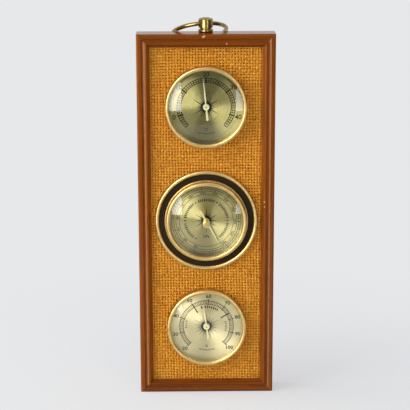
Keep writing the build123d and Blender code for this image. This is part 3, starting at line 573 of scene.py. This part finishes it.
class Print:
    """The printing on one dial, drawn in millimetres from the dial's middle, right and up."""

    def __init__(self, dial):
        self.middle = dial_middles[dial]
        self.points = []
        self.faces = []

    def spot(self, right, up, raised):
        """Add a point, on the dial or on the face of the ink, and give its number."""
        depth = self.middle.y - (ink_film if raised else 0.0) * MM
        self.points.append((right * MM, depth, self.middle.z + up * MM))
        return len(self.points) - 1

    def outline(self, corners):
        """A closed outline, given clockwise."""
        front = [self.spot(right, up, True) for right, up in corners]
        rear = [self.spot(right, up, False) for right, up in corners]
        self.faces += [front[::-1], rear]
        for index in range(len(corners)):
            turn = (index + 1) % len(corners)
            self.faces.append([front[index], front[turn], rear[turn], rear[index]])

    def mark(self, angle, near, far, near_width, far_width):
        """A line outwards along an angle, clockwise from the top."""
        away = (math.sin(math.radians(angle)), math.cos(math.radians(angle)))
        side = (away[1], -away[0])
        corners = []
        for reach, half in (
            (near, -near_width / 2),
            (far, -far_width / 2),
            (far, far_width / 2),
            (near, near_width / 2),
        ):
            corners.append((away[0] * reach + side[0] * half, away[1] * reach + side[1] * half))
        self.outline(corners)

    def arc(self, radius, width, start, end):
        """A line round the dial from one angle to another."""
        steps = max(int(abs(end - start) / 3), 2)
        closed = abs(end - start) >= 360
        rows = []
        for step in range(steps if closed else steps + 1):
            swing = math.radians(start + (end - start) * step / steps)
            row = []
            for reach, raised in ((-1, True), (1, True), (1, False), (-1, False)):
                far = radius + reach * width / 2
                row.append(self.spot(math.sin(swing) * far, math.cos(swing) * far, raised))
            rows.append(row)
        following = rows[1:] + rows[:1] if closed else rows[1:]
        for one, two in zip(rows, following):
            for index in range(4):
                turn = (index + 1) % 4
                self.faces.append([one[index], one[turn], two[turn], two[index]])
        if not closed:
            self.faces += [rows[0][::-1], rows[-1]]

    def numeral(self, text, size, radius, angle, turn=0.0, wide=1.0):
        """Figures of a size, their middle at a radius and an angle, turned and drawn out sideways."""
        curve = bpy.data.curves.new("figures", "FONT")
        curve.body = text
        curve.size = size
        curve.align_x = "CENTER"
        curve.align_y = "CENTER"
        curve.extrude = ink_film / 2
        # The strokes are a little bolder than the font's own.
        curve.offset = 0.02 * size
        curve.resolution_u = 3
        holder = bpy.data.objects.new("figures", curve)
        mesh = bpy.data.meshes.new_from_object(holder)
        swing = math.radians(angle)
        slant = math.radians(turn)
        base = len(self.points)
        for vertex in mesh.vertices:
            across = vertex.co.x * wide
            right = across * math.cos(slant) + vertex.co.y * math.sin(slant) + radius * math.sin(swing)
            up = -across * math.sin(slant) + vertex.co.y * math.cos(slant) + radius * math.cos(swing)
            self.spot(right, up, vertex.co.z > 0)
        self.faces += [[base + index for index in face.vertices] for face in mesh.polygons]
        bpy.data.objects.remove(holder)
        bpy.data.curves.remove(curve)
        bpy.data.meshes.remove(mesh)

    def ladder(self, near, far, start, end, step, width):
        """Two arcs with a rung at each step between them."""
        self.arc(near, width, start, end)
        self.arc(far, width, start, end)
        for index in range(round((end - start) / step) + 1):
            self.mark(start + step * index, near, far, width, width)

    def burst(self, count, near, reaches, width):
        """Pointed rays round the hub, their lengths repeating."""
        for index in range(count):
            self.mark(360 / count * index, near, reaches[index % len(reaches)], width, ray_tip)

    def dashes(self, radius, height, start, end, count, width=0.7):
        """A row of short strokes round the dial, every third one longer."""
        for index in range(count):
            angle = start + (end - start) * index / (count - 1)
            rise = height * (0.65 if index % 3 == 0 else 0.5)
            self.mark(angle, radius - rise, radius + rise, width, width)


# The thermometer's scale turns by the same angle for each degree, and has 20 at the top.
degree_turn = 5.4
top_degree = 20
scale_end = 135
track_near, track_far = 25.5, 29.5
thermometer = Print("thermometer")
thermometer.ladder(track_near, track_far, -scale_end, scale_end, degree_turn, 0.68)
thermometer.arc(27.3, 0.5, -scale_end, scale_end)
for degree in range(-5, 46, 5):
    thermometer.mark((degree - top_degree) * degree_turn, track_near, track_far, 0.9, 0.9)
for tens in (0, 10, 20, 30, 40):
    angle = (tens - top_degree) * degree_turn
    thermometer.mark(angle, 24.3, 30.4, 1.4, 1.4)
    # Figures are wider than tall, so those at the sides stand further out.
    out_by = 33.0 + 1.4 * abs(math.sin(math.radians(angle)))
    thermometer.numeral(str(tens), 6.8, out_by, angle)
thermometer.burst(24, 3.4, (15.4, 9.6, 12.2, 9.6), 1.7)
thermometer.numeral("°C", 3.6, 23.4, 180)
thermometer.dashes(27.4, 1.5, 163, 197, 11)
add_piece("thermometer_scale", thermometer.points, thermometer.faces, scale_ink, "station")

# The angle of each ten per cent of humidity; the steps are uneven.
humid = {20: -137, 30: -105, 40: -70, 50: -32, 60: 4, 70: 41, 80: 73, 90: 105, 100: 135}
track_near, track_far = 24.6, 28.4
hygrometer = Print("hygrometer")
for radius in (track_near, track_far):
    hygrometer.arc(radius, 0.55, humid[20], humid[100])
for tens, angle in humid.items():
    hygrometer.mark(angle, 23.8, 29.8, 0.9, 0.9)
    out_by = 33.0 + 1.1 * abs(math.sin(math.radians(angle)))
    hygrometer.numeral(str(tens), 5.3, out_by, angle, wide=1.1)
    if tens < 100:
        step = humid[tens + 10] - angle
        for part in range(1, 10):
            hygrometer.mark(angle + step * part / 10, track_near, track_far, 0.45, 0.45)
for limit in (-31.5, 58.5):
    hygrometer.mark(limit, 17.5, 27.5, 1.2, 1.2)
hygrometer.dashes(21.6, 2.4, -14, 32, 9, 1.2)
hygrometer.dashes(21.6, 1.8, -93, -74, 4)
hygrometer.dashes(20.6, 1.8, 76, 104, 6)
hygrometer.dashes(26.4, 1.4, 163, 197, 11)
hygrometer.burst(36, 3.6, (14.6, 10.4, 12.4, 10.4, 13.2, 10.4), 1.0)
hygrometer.arc(4.2, 1.1, 0, 360)
hygrometer.numeral("%", 3.6, 22.0, 180)
add_piece("hygrometer_scale", hygrometer.points, hygrometer.faces, scale_ink, "station")

# The barometer's figures stand between two rings, with a finer scale between two more outside them.
figure_near, figure_far, fine_near, fine_far = 27.8, 31.4, 33.4, 35.8
fine_start = -8
lowest_pressure, lowest_angle = 950, -158
barometer = Print("barometer")
for radius in (figure_near, figure_far, fine_near, fine_far):
    barometer.arc(radius, 0.4, 0, 360)
for index in range(144):
    reach = fine_far if index % 2 else 34.7
    barometer.mark(index * 2.5 + fine_start, fine_near, reach, 0.45, 0.45)
for index in range(72):
    barometer.mark(index * 5 + fine_start, figure_far, 32.4, 0.45, 0.45)
for index in range(13):
    angle = lowest_angle + 25 * index
    barometer.numeral(str(lowest_pressure + 10 * index), 2.9, 29.6, angle, angle)
    barometer.mark(angle, figure_far, fine_far, 0.6, 0.6)
for start in (-150, -90, -30, 30, 90):
    barometer.dashes(22.0, 2.5, start + 9, start + 51, 9, 1.1)
    barometer.mark(start, 21.2, 22.8, 1.4, 1.4)
barometer.mark(150, 21.2, 22.8, 1.4, 1.4)
barometer.burst(24, 3.0, (13.5, 8.4, 10.6, 8.4), 1.5)
barometer.numeral("hPa", 4.4, 17.0, 180)
add_piece("barometer_scale", barometer.points, barometer.faces, scale_ink, "station")

# Camera, where the fit to the photograph's corners and circles puts it

image_pixels = 410
focal_pixels = 1311.47
sensor_mm = 36.0
eye = Vector((-18.26, -1320.3, 538.65)) * MM
pitch, yaw, roll = math.radians(14.29), math.radians(0.74), math.radians(-0.13)
ahead = Vector((math.sin(yaw) * math.cos(pitch), math.cos(yaw) * math.cos(pitch), -math.sin(pitch)))
level = Vector((math.cos(yaw), -math.sin(yaw), 0))
upward = level.cross(ahead)
right = level * math.cos(roll) + upward * math.sin(roll)
above = right.cross(ahead)
camera_data = bpy.data.cameras.new("camera")
camera_data.sensor_width = sensor_mm
camera_data.lens = focal_pixels / image_pixels * sensor_mm
camera = bpy.data.objects.new("camera", camera_data)
turn = Matrix((right, above, -ahead)).transposed().to_4x4()
camera.matrix_world = Matrix.Translation(eye) @ turn
bpy.context.scene.collection.objects.link(camera)
bpy.context.scene.camera = camera

# Studio

backdrop_code = "E7E8EA"
room_side = 3.0  # metres from the middle to the side walls and the table's ends
table_front, table_back = -0.75, 4.0
wall_front, wall_rear, wall_foot, wall_head = -2.4, 0.2, -2.0, 2.6


def studio_world():
    """Even pale room light; the camera, metal and glass see the pale backdrop."""
    world = bpy.data.worlds.new("studio")
    world.use_nodes = True
    tree = world.node_tree
    tree.nodes.clear()
    path = node(tree, "LightPath").outputs
    seen = node(tree, "Math", {0: path["Is Camera Ray"], 1: path["Is Glossy Ray"]}, operation="MAXIMUM")
    seen = node(tree, "Math", {0: seen, 1: path["Is Transmission Ray"]}, operation="MAXIMUM")
    room = node(tree, "Background", {"Color": "F4F5F8", "Strength": 0.38})
    pale = node(tree, "Background", {"Color": backdrop_code, "Strength": 1.0})
    mixed = node(tree, "MixShader", {0: seen, 1: room, 2: pale})
    node(tree, "OutputWorld", {"Surface": mixed})
    bpy.context.scene.world = world


def staged_sheet(name, finish, corners):
    """A flat stage piece from four corners."""
    mesh = bpy.data.meshes.new(name)
    mesh.from_pydata(corners, [], [(0, 1, 2, 3)])
    mesh.materials.append(finish)
    made = bpy.data.objects.new(name, mesh)
    bpy.context.scene.collection.objects.link(made)
    return made


def studio_table():
    """A pale table that fades into the backdrop, so that no edge of it shows."""
    finish, tree = new_finish("painted_studio_table")
    place = node(tree, "TexCoord").outputs["Object"]
    reach = node(tree, "VectorMath", {0: place}, operation="LENGTH")
    # Within half a metre of the middle, the paint gives way to the backdrop's own colour.
    fade = {"Value": reach, "From Min": 0.05, "From Max": 0.5, "To Min": 0.6}
    far = node(tree, "MapRange", fade, interpolation_type="SMOOTHSTEP")
    paint = node(tree, "BsdfDiffuse", {"Color": "DEDEDD"})
    pale = node(tree, "Emission", {"Color": backdrop_code, "Strength": 1.0})
    mixed = node(tree, "MixShader", {0: far, 1: paint, 2: pale})
    node(tree, "OutputMaterial", {"Surface": mixed})
    corners = [
        (-room_side, table_front, 0),
        (room_side, table_front, 0),
        (room_side, table_back, 0),
        (-room_side, table_back, 0),
    ]
    staged_sheet("studio_table", finish, corners)


def dark_walls():
    """The unlit room behind the camera and at its sides, which only metal, glass and lacquer mirror."""
    finish, tree = new_finish("unlit_studio_wall")
    dark = node(tree, "Emission", {"Color": "4A4A38", "Strength": 0.35})
    node(tree, "OutputMaterial", {"Surface": dark})
    for name, start, end in (
        ("wall_front", (-room_side, wall_front), (room_side, wall_front)),
        ("wall_left", (-room_side, wall_rear), (-room_side, wall_front)),
        ("wall_right", (room_side, wall_front), (room_side, wall_rear)),
    ):
        corners = [(*start, wall_foot), (*end, wall_foot), (*end, wall_head), (*start, wall_head)]
        made = staged_sheet(name, finish, corners)
        made.visible_camera = False
        made.visible_diffuse = False
        made.visible_shadow = False


def soft_lamp(name, place, target, width, height, radiance, mirrored=True, lights=True):
    """A rectangular soft lamp; radiance 1 is as bright as white paper."""
    lamp = bpy.data.lights.new(name, "AREA")
    lamp.shape = "RECTANGLE"
    lamp.size = width
    lamp.size_y = height
    lamp.energy = radiance * width * height * math.pi
    made = bpy.data.objects.new(name, lamp)
    made.location = place
    made.rotation_euler = (Vector(target) - Vector(place)).to_track_quat("-Z", "Y").to_euler()
    made.visible_camera = False
    made.visible_glossy = mirrored
    made.visible_diffuse = lights
    bpy.context.scene.collection.objects.link(made)


studio_world()
studio_table()
dark_walls()
# The two panes that the glasses mirror, the broad light from the left, and a little from above
soft_lamp(
    "pane_left", (-1.52, -2.1, 1.06), (-1.52, 0.0, 1.06),
    width=1.76, height=2.48, radiance=7.4, lights=False
)
soft_lamp(
    "pane_right", (1.08, -2.1, 0.66), (1.08, 0.0, 0.66),
    width=0.46, height=1.68, radiance=5.2
)
soft_lamp(
    "light_left", (-1.95, -0.5, 0.9), (0.0, 0.0, 0.2),
    width=2.3, height=2.2, radiance=5.0, mirrored=False
)
soft_lamp(
    "light_above", (-0.2, -0.4, 1.9), (0.0, 0.0, 0.2),
    width=1.6, height=1.6, radiance=0.9, mirrored=False
)
